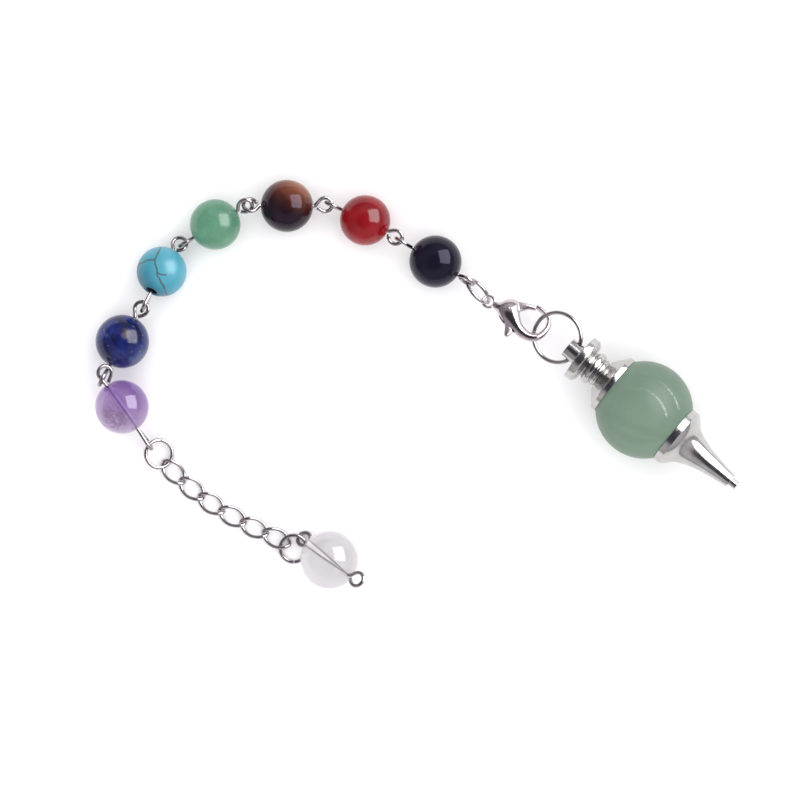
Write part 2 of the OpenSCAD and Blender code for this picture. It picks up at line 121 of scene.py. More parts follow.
# The drop, with its axis along X, its ball on the table and the hole in its post at a given place.
HOLE_AT = Vector((25.36, 4.85, 6.54))
DROP_HEADING = -39.6
BALL_R = 7.8
BALL_BORE_D = 1.3
HOLE_BACK = BALL_R + 6.6
DROP_RISE = degrees(asin((BALL_R - HOLE_AT.z) / HOLE_BACK))
CROSS_HOLE_D = 1.3
RING_HEADING = -41
RING_DIP = 12
RING_ROLL = 17
# How far the caps' rims are from the ball's centre along the axis, and the upper cap's width at its hollows.
UPPER_MOUTH = 6.02
LOWER_MOUTH = 6.09
THROAT_D = 4.36
# How the spike thins out below its cup: share of its length, share of the cup's width that is left.
SPIKE_CURVE = (
    (0.05, 0.86), (0.14, 0.6), (0.24, 0.44), (0.36, 0.32), (0.5, 0.215), (0.66, 0.13), (0.83, 0.06), (1, 0),
)

# The clasp, with its eye at the origin and its long axis along X.
EYE_AT = Vector((11.62, 13.02, 3.85))
CLASP_HEADING = -25
CLASP_RISE = 7
CLASP_ROLL = -18
PIVOT = (3.46, 0.06)
RIVET_D = 0.5
RIVET_LENGTH = 2.72
# The room round the rivet and on each side of the lever.
RIVET_PLAY = 0.02
LEVER_PLAY = 0.05
# Cross sections of the hook: x, y of the inner edge, x, y of the outer edge, half thickness.
HOOK_SECTIONS = (
    (0.92, 0.46, 0.92, -0.52, 0.4), (1.45, 0.6, 1.4, -0.7, 0.55), (1.9, 0.75, 1.85, -0.88, 0.85),
    (2.35, 1.4, 2.45, -1.4, 1.15), (3, 1.92, 3.15, -1.95, 1.32), (3.64, 2.17, 3.85, -2.27, 1.38),
    (4.25, 2.08, 4.55, -2.5, 1.36), (4.8, 1.4, 5.1, -2.7, 1.26), (5.3, 0.63, 5.6, -2.86, 1.15),
    (5.8, -0.2, 6.15, -3.02, 1.02), (6.45, -1.05, 6.8, -3.18, 0.9), (7.3, -1.5, 7.6, -3.27, 0.8),
    (8.1, -1.72, 8.45, -3.22, 0.72), (8.9, -1.6, 9.35, -2.9, 0.66), (9.5, -1.24, 10.1, -2.28, 0.62),
    (9.82, -0.5, 10.6, -1.25, 0.6), (9.94, 0.2, 10.82, -0.05, 0.59), (9.85, 0.95, 10.72, 0.85, 0.58),
    (9.52, 1.5, 10.2, 1.7, 0.58), (9.05, 1.78, 9.5, 2.35, 0.6), (8.4, 1.97, 8.55, 2.76, 0.62),
    (7.9, 2.1, 7.9, 2.92, 0.64), (7.52, 2.22, 7.12, 2.86, 0.62),
)
# The outline of the room that the lever swings in.
SLOT_OUTLINE = (
    (2.66, -5), (2.6, -0.9), (2.55, 0.1), (2.6, 0.65), (3.2, 1.6), (3.9, 3),
    (6.6, 3), (6.6, -0.3), (5.7, -0.75), (5.1, -1.6), (5.98, -2.85), (5.98, -5),
)
# The outline of the lever, from the top of its tip round by the thumb tab.
LEVER_OUTLINE = (
    (7.12, 2.72), (7.36, 2.4), (7.51, 2.06), (6.3, 1.62), (5.3, 0.75), (4.55, -0.5), (4.75, -1.7),
    (5.62, -2.95), (5.5, -3.55), (5.3, -4.02), (5.02, -4.22), (4.68, -4.02), (4.1, -2.5), (3.3, -1.2),
    (2.75, -0.25), (2.95, 0.7), (3.3, 1.4), (3.62, 2.08), (4.25, 2.03), (4.5, 2.12),
)


def srgb(code):
    """A colour written as an sRGB hex value, as the linear colour that a socket takes."""
    parts = [int(code[i:i + 2], 16) / 255 for i in (1, 3, 5)]
    return tuple(c / 12.92 if c <= 0.04045 else ((c + 0.055) / 1.055) ** 2.4 for c in parts) + (1.0,)


def put(tree, kind, inputs=None, stops=None, **settings):
    """Adds a shader node. An input is a value, a node to link from, or such a node with one of its outputs.

    A ramp's stops are places with an sRGB hex value or a brightness.
    """
    node = tree.nodes.new(f"ShaderNode{kind}")
    for name, value in settings.items():
        setattr(node, name, value)
    if stops:
        while len(node.color_ramp.elements) < len(stops):
            node.color_ramp.elements.new(1)
        for element, (place, colour) in zip(node.color_ramp.elements, stops):
            element.position = place
            element.color = srgb(colour) if isinstance(colour, str) else (colour, colour, colour, 1)
    for name, value in (inputs or {}).items():
        if isinstance(value, bpy.types.Node):
            value = (value, next(i for i, output in enumerate(value.outputs) if output.enabled))
        if isinstance(value, tuple) and isinstance(value[0], bpy.types.Node):
            tree.links.new(value[0].outputs[value[1]], node.inputs[name])
        else:
            node.inputs[name].default_value = value
    return node


def new_material(name):
    """An empty material and its tree."""
    material = bpy.data.materials.new(name)
    material.use_nodes = True
    material.node_tree.nodes.clear()
    return material, material.node_tree


def close_material(material, inputs):
    """Ends a material in a Principled shader with these inputs."""
    shader = put(material.node_tree, "BsdfPrincipled", inputs)
    put(material.node_tree, "OutputMaterial", {"Surface": shader})
    return material


# Placing


def turn(degrees_about, axis):
    return Matrix.Rotation(radians(degrees_about), 4, axis)


def bead_place(name):
    """Where a bead lies, with its pin along X."""
    x, y, heading, rise = BEAD_LIES[name]
    move = Matrix.Translation(SHIFT + Vector((x, y, BEAD_DIAMETERS[name] / 2)))
    return move @ turn(heading, "Z") @ turn(-rise, "Y")


def ring_place(name):
    """Where a jump ring lies, flat on its own XY plane with its cut on X."""
    x, y, z, tilt, heading, cut = RING_LIES[name]
    move = Matrix.Translation(SHIFT + Vector((x, y, z)))
    return move @ turn(heading, "Z") @ turn(tilt, "Y") @ turn(cut, "Z")


def drop_place():
    """Where the drop lies, with its axis along X and its ball's centre at the origin."""
    move = Matrix.Translation(SHIFT + HOLE_AT)
    return move @ turn(DROP_HEADING, "Z") @ turn(-DROP_RISE, "Y") @ Matrix.Translation((HOLE_BACK, 0, 0))


def large_ring_place(settings):
    """Where the large ring lies, flat on its own XY plane, with its wire near the wall of the post's hole."""
    radius = (settings.ring - settings.ring_wire) / 2
    play = (CROSS_HOLE_D - settings.ring_wire) / 2 - RING_GAP
    move = Matrix.Translation(SHIFT + HOLE_AT)
    lie = move @ turn(RING_HEADING, "Z") @ turn(-RING_DIP, "Y") @ turn(RING_ROLL, "X")
    return lie @ Matrix.Translation((play - radius, 0, 0))


def clasp_place():
    """Where the clasp lies, with its eye at the origin and its long axis along X."""
    move = Matrix.Translation(SHIFT + EYE_AT)
    return move @ turn(CLASP_HEADING, "Z") @ turn(-CLASP_RISE, "Y") @ turn(CLASP_ROLL, "X")


def finish_piece(bm, name, node, material, place, body=PENDANT, sharp=32, crisp=False):
    """Turns a bmesh in millimetres into a piece that stands for its CAD node."""
    bmesh.ops.remove_doubles(bm, verts=bm.verts, dist=SAME_POINT)
    bmesh.ops.recalc_face_normals(bm, faces=bm.faces)
    for face in bm.faces:
        face.smooth = True
    for edge in bm.edges:
        edge.smooth = not (edge.is_manifold and edge.calc_face_angle(0) > radians(sharp))
    bm.transform(Matrix.Scale(MM, 4) @ place)
    mesh = bpy.data.meshes.new(name)
    bm.to_mesh(mesh)
    bm.free()
    piece = bpy.data.objects.new(name, mesh)
    bpy.context.scene.collection.objects.link(piece)
    mesh.materials.append(material)
    if crisp:
        evened = piece.modifiers.new("even shading", "WEIGHTED_NORMAL")
        evened.keep_sharp = True
    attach(piece, body)
    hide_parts(node)
    return piece


def cut_away(bm, cutter, operation="DIFFERENCE"):
    """Cuts one bmesh away from another, or welds it on, and gives back the result."""
    parts = []
    for shape in (bm, cutter):
        mesh = bpy.data.meshes.new("blank")
        shape.to_mesh(mesh)
        shape.free()
        parts.append(bpy.data.objects.new("blank", mesh))
        bpy.context.scene.collection.objects.link(parts[-1])
    step = parts[0].modifiers.new("cut", "BOOLEAN")
    step.operation = operation
    step.solver = "EXACT"
    step.object = parts[1]
    bpy.context.view_layer.update()
    done = parts[0].evaluated_get(bpy.context.evaluated_depsgraph_get())
    result = bmesh.new()
    result.from_mesh(done.to_mesh())
    done.to_mesh_clear()
    for part in parts:
        mesh = part.data
        bpy.data.objects.remove(part)
        bpy.data.meshes.remove(mesh)
    return result


def edges_of(found):
    return [g for g in found if isinstance(g, bmesh.types.BMEdge)]


def verts_of(found):
    return [g for g in found if isinstance(g, bmesh.types.BMVert)]


def bevel(bm, edges, width, steps):
    bmesh.ops.bevel(
        bm, geom=edges, offset=width, offset_type="OFFSET", segments=steps, profile=0.5,
        affect="EDGES", material=-1, clamp_overlap=True,
    )


def bevel_sharp(bm, width, angle, steps):
    """Rounds every edge that is sharper than an angle in degrees."""
    bm.normal_update()
    sharp = [e for e in bm.edges if e.is_manifold and e.calc_face_angle(0) > radians(angle)]
    bevel(bm, sharp, width, steps)


def round_bar(diameter, length, place, sides=48):
    """A round bar along its place's Z axis."""
    bm = bmesh.new()
    bmesh.ops.create_cone(
        bm, cap_ends=True, segments=sides, radius1=diameter / 2, radius2=diameter / 2, depth=length,
        matrix=place,
    )
    return bm


# Beads and wire


def drilled_bead(diameter, hole_d, hollow_d=0.0):
    """A sphere drilled along X, with softened or hollowed mouths."""
    bm = bmesh.new()
    r = diameter / 2
    bmesh.ops.create_uvsphere(bm, u_segments=96, v_segments=64, radius=r)
    mouth = max(hole_d, hollow_d) / 2
    height = sqrt(r * r - mouth * mouth)
    rims = []
    for side in (1, -1):
        cut = bmesh.ops.bisect_plane(
            bm, geom=bm.verts[:] + bm.edges[:] + bm.faces[:], dist=0.0001,
            plane_co=(0, 0, side * height), plane_no=(0, 0, side), clear_outer=True,
        )
        rim = edges_of(cut["geom_cut"])
        if hollow_d:
            deeper = bmesh.ops.extrude_edge_only(bm, edges=rim)["geom"]
            share = hole_d / hollow_d
            sink = (r - height) * (1 - share)
            bmesh.ops.scale(bm, vec=(share, share, 1), verts=verts_of(deeper))
            bmesh.ops.translate(bm, vec=(0, 0, -side * sink), verts=verts_of(deeper))
            rim = edges_of(deeper)
        rims += rim
    bmesh.ops.bridge_loops(bm, edges=rims)
    bmesh.ops.recalc_face_normals(bm, faces=bm.faces)
    bevel_sharp(bm, 0.12 if hollow_d else 0.05, 40, 3)
    bm.transform(turn(90, "Y"))
    return bm


def start_wire(bm, wire_d, place, sides=20):
    """A ring of edges to draw wire from, square to the place's X axis."""
    ring = bmesh.ops.create_circle(
        bm, cap_ends=False, radius=wire_d / 2, segments=sides, matrix=place @ turn(90, "Y"),
    )
    return list({e for v in ring["verts"] for e in v.link_edges})


def draw_wire(bm, ring, steps, place):
    """Draws wire on from a ring: ("run", length) is straight, ("bend", radius, degrees) turns to the left."""
    for step in steps:
        if step[0] == "run":
            drawn = bmesh.ops.extrude_edge_only(bm, edges=ring)["geom"]
            bmesh.ops.translate(bm, vec=place.to_3x3() @ Vector((step[1], 0, 0)), verts=verts_of(drawn))
            place = place @ Matrix.Translation((step[1], 0, 0))
            ring = edges_of(drawn)
        else:
            radius, angle = step[1:]
            side = 1 if angle > 0 else -1
            centre = place @ Vector((0, side * radius, 0))
            axis = place.to_3x3() @ Vector((0, 0, side))
            count = max(3, round(abs(angle) / BEND_STEP))
            bent = bmesh.ops.spin(
                bm, geom=ring, cent=centre, axis=axis, angle=radians(abs(angle)), steps=count,
            )
            ring = edges_of(bent["geom_last"])
            swing = Matrix.Translation((0, side * radius, 0)) @ turn(angle, "Z")
            place = place @ swing @ Matrix.Translation((0, -side * radius, 0))
    return ring, place


def close_wire(bm, ring, softness=0.05):
    """Closes the cut end of a wire, with its burr rounded off."""
    bmesh.ops.contextual_create(bm, geom=ring)
    bevel(bm, ring, softness, 2)


def loop_steps(spread, bend, settings):
    """The bends of a teardrop loop, from the pin round to its cut end."""
    wire_r, neck_r, loop_r = settings.pin_wire / 2, settings.neck_radius, settings.loop_radius
    half = radians(spread)
    leg = (loop_r * cos(half) - neck_r * (1 - cos(half))) / sin(half)
    clear = (wire_r + CUT_GAP + wire_r * cos(2 * half)) / (2 * cos(half))
    cut = max(LEAST_CUT, (clear - neck_r * (1 - cos(half))) / sin(half))
    return (
        ("bend", neck_r, spread + bend), ("run", leg),
        ("bend", loop_r, -180 - 2 * spread), ("run", leg - cut),
    )


def looped_pin(name, settings):
    """A straight pin through a bead with a loop bent at each end."""
    bm = bmesh.new()
    middle = start_wire(bm, settings.pin_wire, Matrix.Identity(4))
    reach = BEAD_DIAMETERS[name] / 2 + GAP
    for (roll, spread, sideways), facing in zip(PIN_LOOPS[name], (0, 180)):
        ring, place = draw_wire(bm, middle, [("run", reach)], turn(facing, "Z"))
        ring, _ = draw_wire(bm, ring, loop_steps(spread, sideways, settings), place @ turn(roll, "X"))
        close_wire(bm, ring)
    return bm


def wire_ring(outer_d, wire_d, cut=0.0):
    """A round ring of wire on the XY plane, closed or with a narrow cut on X."""
    bm = bmesh.new()
    radius = (outer_d - wire_d) / 2
    half_cut = asin(cut / radius) / 2
    place = turn(degrees(half_cut), "Z") @ Matrix.Translation((radius, 0, 0)) @ turn(90, "Z")
    ring = start_wire(bm, wire_d, place)
    spun = bmesh.ops.spin(
        bm, geom=ring, cent=(0, 0, 0), axis=(0, 0, 1), angle=FULL_TURN - 2 * half_cut, steps=96,
        use_merge=not cut,
    )
    if cut:
        close_wire(bm, edges_of(spun["geom_last"]), 0.04)
        close_wire(bm, ring, 0.04)
    return bm


def curb_link(settings):
    """A twisted oval of wire, bridged from ring to ring along its middle line."""
    long_r, wide_r, twist = settings.link_length / 2, settings.link_width / 2, settings.link_twist
    count = 56
    nudge = 0.01

    def middle(t):
        bend = twist * cos(t)
        return Vector((long_r * cos(t), wide_r * sin(t) * cos(bend), -wide_r * sin(t) * sin(bend)))

    bm = bmesh.new()
    rings = []
    for i in range(count):
        t = FULL_TURN * i / count
        ahead = (middle(t + nudge) - middle(t - nudge)).normalized()
        face = Vector((0, sin(twist * cos(t)), cos(twist * cos(t))))
        side = face.cross(ahead).normalized()
        up = ahead.cross(side)
        place = Matrix((ahead, side, up)).transposed().to_4x4()
        place.translation = middle(t)
        rings.append(start_wire(bm, settings.link_wire, place, 16))
    for i in range(count):
        bmesh.ops.bridge_loops(bm, edges=rings[i] + rings[(i + 1) % count])
    return bm


# Turned parts


def flow(points, steps=4):
    """A smooth line through points."""
    line = [Vector(p) for p in points]
    ends = [2 * line[0] - line[1]] + line + [2 * line[-1] - line[-2]]
    found = []
    for i in range(1, len(ends) - 2):
        before, a, b, after = ends[i - 1:i + 3]
        found += interpolate_bezier(a, a + (b - before) / 6, b - (after - a) / 6, b, steps + 1)[:-1]
    return found + [line[-1]]


def hollow(before, middle, after):
    """A smooth hollow from the end of one outline down to a low point and up to the start of the next."""
    low = Vector((*middle, 0))
    handle = 0.42
    first, start, end, last = [Vector((*p, 0)) for p in (*before, *after)]
    found = []
    for a, b, leave, arrive in (
        (start, low, (start - first).normalized(), Vector((1, 0, 0))),
        (low, end, Vector((1, 0, 0)), (last - end).normalized()),
    ):
        pull = (b - a).length * handle
        found += interpolate_bezier(a, a + leave * pull, b - arrive * pull, b, 9)[:-1]
    return [(p.x, p.y) for p in found] + [after[0]]


def turned(profile, steps=144):
    """Turns an outline of (distance along X, radius) about X and closes it."""
    bm = bmesh.new()
    verts = [bm.verts.new((x, r, 0)) for x, r in profile]
    edges = [bm.edges.new(pair) for pair in zip(verts, verts[1:])]
    bmesh.ops.spin(
        bm, geom=verts + edges, cent=(0, 0, 0), axis=(1, 0, 0), angle=FULL_TURN, steps=steps, use_merge=True,
    )
    bmesh.ops.remove_doubles(bm, verts=bm.verts, dist=SAME_POINT)
    bmesh.ops.recalc_face_normals(bm, faces=bm.faces)
    return bm


def arc(middle, base_r, half_l, rise, start, end, steps=14):
    """Points of a rounded bulge of a turned outline, between two angles of its round."""
    angles = [radians(start + (end - start) * i / steps) for i in range(steps + 1)]
    return [(middle - half_l * cos(a), base_r + rise * sin(a)) for a in angles]


def seat(side, mouth, steps=12):
    """The hollow that the ball sits in, from its mouth to the axis."""
    r = BALL_R + SEAT_GAP
    first = asin(sqrt(r * r - mouth * mouth) / r)
    angles = [first * (1 - i / steps) for i in range(steps + 1)]
    return [(side * r * cos(a), r * sin(a)) for a in angles]


def upper_cap_outline(settings):
    """Half of the upper cap's section: post, disc, collar, ripple, skirt and the ball's seat."""
    post_r, disc_r, skirt_r = settings.post / 2, settings.disc / 2, settings.skirt / 2
    throat = THROAT_D / 2
    # Where each form stands on the axis, as a distance from the ball's centre.
    post_end = HOLE_BACK + 1.45
    back = HOLE_BACK - 0.68
    edge = back - 0.38
    front = edge - 0.85
    collar_mid = front - 2.02
    top = UPPER_MOUTH + 3.26
    band = UPPER_MOUTH + 0.84
    line = [(-post_end, 0), (-post_end, post_r), (-back, post_r)]
    line += [(-edge - 0.08, disc_r - 0.08), (-edge, disc_r)]
    flank = arc(-front, throat, 1, disc_r - throat, 90, 152)
    collar = arc(-collar_mid, throat, 0.76, settings.collar / 2 - throat, 28, 150)
    ripple = arc(-top - 0.08, throat, 0.3, 0.2, 30, 150, 8)
    neck = ((flank[-1][0] + collar[0][0]) / 2, throat + 0.06)
    waist = ((collar[-1][0] + ripple[0][0]) / 2, throat + 0.04)
    foot = (-top + 0.24, throat + 0.06)
    line += flank[:-1]
    line += hollow(flank[-2:], neck, collar[:2]) + collar[1:-1]
    line += hollow(collar[-2:], waist, ripple[:2]) + ripple[1:-1]
    line += hollow(ripple[-2:], foot, [(-top + 0.56, throat + 0.5), (-top + 0.9, throat + 0.94)])
    line += [(-band - 0.1, skirt_r - 0.1), (-band + 0.06, skirt_r), (-UPPER_MOUTH, skirt_r)]
    return line + seat(-1, UPPER_MOUTH)


def lower_cap_outline(settings):
    """Half of the lower cap's section: tip pin, spike, cup and the ball's seat."""
    cup_r, spike_r, tip_r = settings.cup / 2, settings.spike_end / 2, settings.tip / 2
    cup_end = LOWER_MOUTH + 1.3
    spike_tip = cup_end + settings.spike
    pin_end = spike_tip + 1.26
    line = [(pin_end, 0), (pin_end, tip_r), (spike_tip, tip_r)]
    spike = flow([(cup_end + settings.spike * a, spike_r + (cup_r - spike_r) * b) for a, b in SPIKE_CURVE], 5)
    line += [tuple(p) for p in reversed(spike)]
    line += [(cup_end, cup_r - 0.12), (cup_end - 0.2, cup_r), (LOWER_MOUTH, cup_r)]
    return line + seat(1, LOWER_MOUTH)


def upper_cap(settings):
    """The upper cap, with its post drilled across for the large ring."""
    bm = turned(upper_cap_outline(settings))
    bevel_sharp(bm, 0.07, 38, 3)
    place = Matrix.Translation((-HOLE_BACK, 0, 0)) @ turn(RING_ROLL, "X") @ turn(90, "X")
    return cut_away(bm, round_bar(CROSS_HOLE_D, 8, place, 64))


def lower_cap(settings):
    bm = turned(lower_cap_outline(settings))
    bevel_sharp(bm, 0.05, 38, 2)
    return bm


# Clasp


def plate(outline, thickness):
    """A flat plate of an outline, its middle on the XY plane."""
    bm = bmesh.new()
    face = bm.faces.new([bm.verts.new((x, y, -thickness / 2)) for x, y in outline])
    pushed = bmesh.ops.extrude_face_region(bm, geom=[face])["geom"]
    bmesh.ops.translate(bm, vec=(0, 0, thickness), verts=verts_of(pushed))
    bmesh.ops.recalc_face_normals(bm, faces=bm.faces)
    return bm


def hook():
    """The clasp's hook, bridged through rings at its cross sections."""
    inner = flow([(s[0], s[1], s[4]) for s in HOOK_SECTIONS], 3)
    outer = flow([(s[2], s[3], s[4]) for s in HOOK_SECTIONS], 3)
    bm = bmesh.new()
    rings = []
    for a, b in zip(inner, outer):
        middle = Vector(((a.x + b.x) / 2, (a.y + b.y) / 2, 0))
        across = Vector((a.x - b.x, a.y - b.y, 0)) / 2
        ahead = across.normalized().cross(Vector((0, 0, 1)))
        place = Matrix((across, Vector((0, 0, a.z)), ahead)).transposed().to_4x4()
        place.translation = middle
        ring = bmesh.ops.create_circle(bm, cap_ends=False, radius=1, segments=40, matrix=place)
        rings.append(list({e for v in ring["verts"] for e in v.link_edges}))
    for first, second in zip(rings, rings[1:]):
        bmesh.ops.bridge_loops(bm, edges=first + second)
    for ring in (rings[0], rings[-1]):
        close_wire(bm, ring, 0.1)
    bmesh.ops.recalc_face_normals(bm, faces=bm.faces)
    return bm


def clasp_body(settings):
    """The hook with its eye, cut out for the lever and drilled for the rivet."""
    bm = cut_away(hook(), wire_ring(settings.eye, settings.eye_wire), "UNION")
    bm = cut_away(bm, plate(SLOT_OUTLINE, settings.lever_thickness + 2 * LEVER_PLAY))
    return cut_away(bm, round_bar(RIVET_D + 2 * RIVET_PLAY, 6, Matrix.Translation((*PIVOT, 0))))


def clasp_lever(settings):
    bm = plate(LEVER_OUTLINE, settings.lever_thickness)
    bevel_sharp(bm, 0.26, 60, 6)
    return bm


def clasp_rivet():
    bm = round_bar(RIVET_D, RIVET_LENGTH, Matrix.Translation((*PIVOT, 0)))
    bevel_sharp(bm, 0.1, 60, 4)
    return bm


# Materials

# Amethyst, aventurine, tiger eye, carnelian and rock crystal are all quartz.
QUARTZ_IOR = 1.54
# In a clear bead the hole's wall is painted: pale for the lit stone, with dark lines of painted shade for the
# wire.
# Painted light of a clear bead's hole: lit wall, dark wire lines, how far these run from the axis, and their
# taper.
CLEAR_BORES = {"amethyst": ("#B79CCB", "#2E2036", 0.0, 0.0), "quartz": ("#E2DDDF", "#4F4852", 0.2, -0.045)}
# The painted highlights on the ball: the point that their rows bend about, each row's distance from it, and
# its ends.
HIGHLIGHT_BEND_POINT = (-2.0, -1.75, 6.0)
PAINTED_HIGHLIGHT_ROWS = ((5.5, -1.3, 3.8), (7.6, -0.2, 5.0))
# A painted highlight near the top, painted light on the lower right and painted shade on the lower left.
# Painted light on the lapis: colour, way it faces, where its fade starts and ends, how far it strays,
# strength.
LAPIS_PAINTED_LIGHT = (
    ("#8C8070", (0.18, 0.3, 1), 0.25, 1.1, 1.6, 0.42), ("#5A6896", (0.66, -0.6, 0.5), 0.2, 2.2, 2.4, 0.6),
    ("#0A0D22", (-0.62, -0.5, 0.6), 0.6, 3.2, 1.4, 0.7),
)
# Each vein of the howlite: the axis that it runs along, the axis across, its start and end along the first,
# and its places on the second at even steps.
TURQUOISE_VEINS = (
    ("Y", "X", -4.4, 4.4, (1.6, 0.75, -0.35, -0.6, 0.3)), ("X", "Y", -4.6, -0.6, (-0.6, 1.5, 2.1, 2.3)),
    ("X", "Y", -0.3, 1.3, (0.1, -0.15, -0.3)),
)


def pattern(tree, middle, heading=0.0, rise=0.0):
    """Object coordinates centred on a piece, in millimetres, with X along its own axis."""
    return put(tree, "Mapping", {
        "Vector": (put(tree, "TexCoord"), "Object"), "Location": Vector(middle) * MM,
        "Rotation": (0, radians(-rise), radians(heading)), "Scale": (MM, MM, MM),
    }, vector_type="TEXTURE")


def bead_material(name, finish):
    """An empty material for a bead, its tree and the bead's pattern, with X along its pin."""
    material, tree = new_material(finish)
    return material, tree, pattern(tree, bead_place(name).translation, *BEAD_LIES[name][2:])


def in_bead(name, direction):
    """A direction in the part's frame, turned as a bead's pattern is."""
    return bead_place(name).to_3x3().inverted() @ Vector(direction)


def mottled(tree, where, size, stops, detail=4.0, rough=0.5, distort=0.0):
    """Colours in blotches that are about this many millimetres wide."""
    splotch = put(tree, "TexNoise", {
        "Vector": where, "Scale": 1 / size, "Detail": detail, "Roughness": rough, "Distortion": distort,
    })
    return put(tree, "ValToRGB", {"Fac": splotch}, stops=stops)


def strayed(tree, start, where, size, reach):
    """Coordinates moved about by noise, so that what is drawn on them gets an uneven edge."""
    bent = put(tree, "TexNoise", {"Vector": where, "Scale": 1 / size, "Detail": 5, "Roughness": 0.6})
    offset = put(tree, "VectorMath", {0: (bent, "Color"), "Scale": reach}, operation="SCALE")
    return put(tree, "VectorMath", {0: start, 1: offset}, operation="ADD")


def banded(tree, where, slope, waves, sway, start, end, stops):
    """Colours in bands along a slope, from a start to an end in millimetres, swayed by a noise."""
    height = put(tree, "VectorMath", {0: where, 1: slope}, operation="DOT_PRODUCT")
    swayed = put(tree, "Math", {0: waves, 1: sway, 2: height}, operation="MULTIPLY_ADD")
    share = put(tree, "MapRange", {"Value": swayed, "From Min": start, "From Max": end})
    return put(tree, "ValToRGB", {"Fac": share}, stops=stops)


def thin_line(tree, value, line_at, stops):
    """A line where a value comes to a given one. The stops are distances from its middle, in millimetres."""
    off = put(tree, "Math", {0: value, 1: line_at}, operation="SUBTRACT")
    near = put(tree, "Math", {0: off}, operation="ABSOLUTE")
    return put(tree, "ValToRGB", {"Fac": near}, stops=stops)


def spot(tree, where, name, toward, inner, outer, wander):
    """A blotch about a place on a bead's surface: 1 up to one distance in millimetres, 0 from another on."""
    moved = strayed(tree, where, where, 1.5, wander)
    surface = in_bead(name, toward).normalized() * BEAD_DIAMETERS[name] / 2
    # The noise is a half on the whole, so it moves everything by half of its reach.
    centre = tuple(v + wander / 2 for v in surface)
    distance = put(tree, "VectorMath", {0: moved, 1: centre}, operation="DISTANCE")
    return put(tree, "MapRange", {
        "Value": distance, "From Min": inner, "From Max": outer, "To Min": 1.0, "To Max": 0.0,
    })


def stained(tree, under, colour, *masks):
    """Lays a colour over another one, as strongly as all of the masks let it."""
    factor = masks[0]
    for mask in masks[1:]:
        factor = put(tree, "Math", {0: factor, 1: mask}, operation="MULTIPLY")
    return put(tree, "Mix", {0: factor, 6: under, 7: srgb(colour)}, data_type="RGBA")


def plated_metal(name, colours, rough, middle, heading, grain):
    """Rhodium plate on polished brass or steel: a bright, slightly warm grey mirror with polishing marks."""
    material, tree = new_material(name)
    where = pattern(tree, middle, heading)
    dull, bright = colours
    shade = mottled(tree, where, 1.6, [(0.3, dull), (0.7, bright)], 3)
    wear = mottled(tree, where, grain, [(0.35, rough * 0.75), (0.7, rough * 1.4)], 5, 0.6)
    # Real polishing scratches are some 0.01 mm wide; these are drawn ten times as coarse so that they show.
    marks = put(tree, "TexNoise", {"Vector": where, "Scale": 1 / 0.12, "Detail": 2})
    bump = put(tree, "Bump", {"Height": marks, "Strength": 0.03, "Distance": 0.02 * MM})
    return close_material(material, {"Base Color": shade, "Metallic": 1.0, "Roughness": wear, "Normal": bump})


def bore_wall(name):
    """The ground wall of a bead's hole, in painted shade. A clear bead's is painted pale as lit, with its
    wire as dark lines.
    """
    material, tree, where = bead_material(name, f"{name} ground bore")
    if name not in CLEAR_BORES:
        # Near black painted shade inside the hole.
        hole_shade = mottled(tree, where, 0.4, [(0.3, "#1C1517"), (0.7, "#2C2223")], 3)
        return close_material(material, {"Base Color": hole_shade, "Roughness": 0.9})
    pale, dark, apart, taper = CLEAR_BORES[name]
    parts = put(tree, "SeparateXYZ", {"Vector": where})
    aside = put(tree, "Math", {0: (parts, "Y")}, operation="ABSOLUTE")
    line_at = put(tree, "Math", {0: (parts, "X"), 1: taper, 2: apart}, operation="MULTIPLY_ADD")
    # The pale colour is painted light, and the dark lines paint the shaded wire where it shows through.
    shade = thin_line(tree, aside, line_at, [(0.07, dark), (0.15, pale)])
    return close_material(material, {"Base Color": shade, "Roughness": 0.8})


def ball_stone():
    """Pale aventurine quartz, tumbled and polished: milky grey green with faint cloudy streaks."""
    material, tree = new_material("pale aventurine polished")
    centre = drop_place().translation
    where = pattern(tree, centre, DROP_HEADING + 25)
    stretched = put(tree, "Mapping", {"Vector": where, "Scale": (0.35, 1, 1)})
    greens = [(0.25, "#6B8070"), (0.5, "#708574"), (0.75, "#768C7A")]
    clouds = mottled(tree, stretched, 3.2, greens, 6, 0.55, 0.6)
    flecks = mottled(tree, where, 0.35, [(0.62, 0), (0.8, 0.35)], 3, 0.6)
    colour = stained(tree, clouds, "#7E9485", flecks)
    # Painted highlights: two curved rows of pale dots on the ball's right, each at one distance from a point
    # inside it.
    upright = pattern(tree, centre)
    parts = put(tree, "SeparateXYZ", {"Vector": upright})
    away = put(tree, "VectorMath", {0: upright, 1: HIGHLIGHT_BEND_POINT}, operation="DISTANCE")
    right = put(tree, "Math", {0: (parts, "X"), 1: -1.0}, operation="GREATER_THAN")
    highlight_dots = mottled(tree, where, 0.3, [(0.42, 0), (0.56, 0.5)], 4, 0.7)
    for radius, low, high in PAINTED_HIGHLIGHT_ROWS:
        row = thin_line(tree, away, radius, [(0.07, 1), (0.2, 0)])
        along = put(tree, "MapRange", {"Value": (parts, "Y"), "From Min": low, "From Max": high})
        fade = put(tree, "ValToRGB", {"Fac": along}, stops=[
            (0.0, 0), (0.12, 1), (0.55, 0.9), (0.75, 0.35), (1.0, 0),
        ])
        colour = stained(tree, colour, "#DDE6E0", row, fade, right, highlight_dots)
    return close_material(material, {
        "Base Color": colour, "Roughness": 0.4, "IOR": QUARTZ_IOR, "Specular IOR Level": 0.15,
        "Subsurface Weight": 0.25, "Subsurface Radius": (0.8, 1.0, 0.8), "Subsurface Scale": MM,
    })


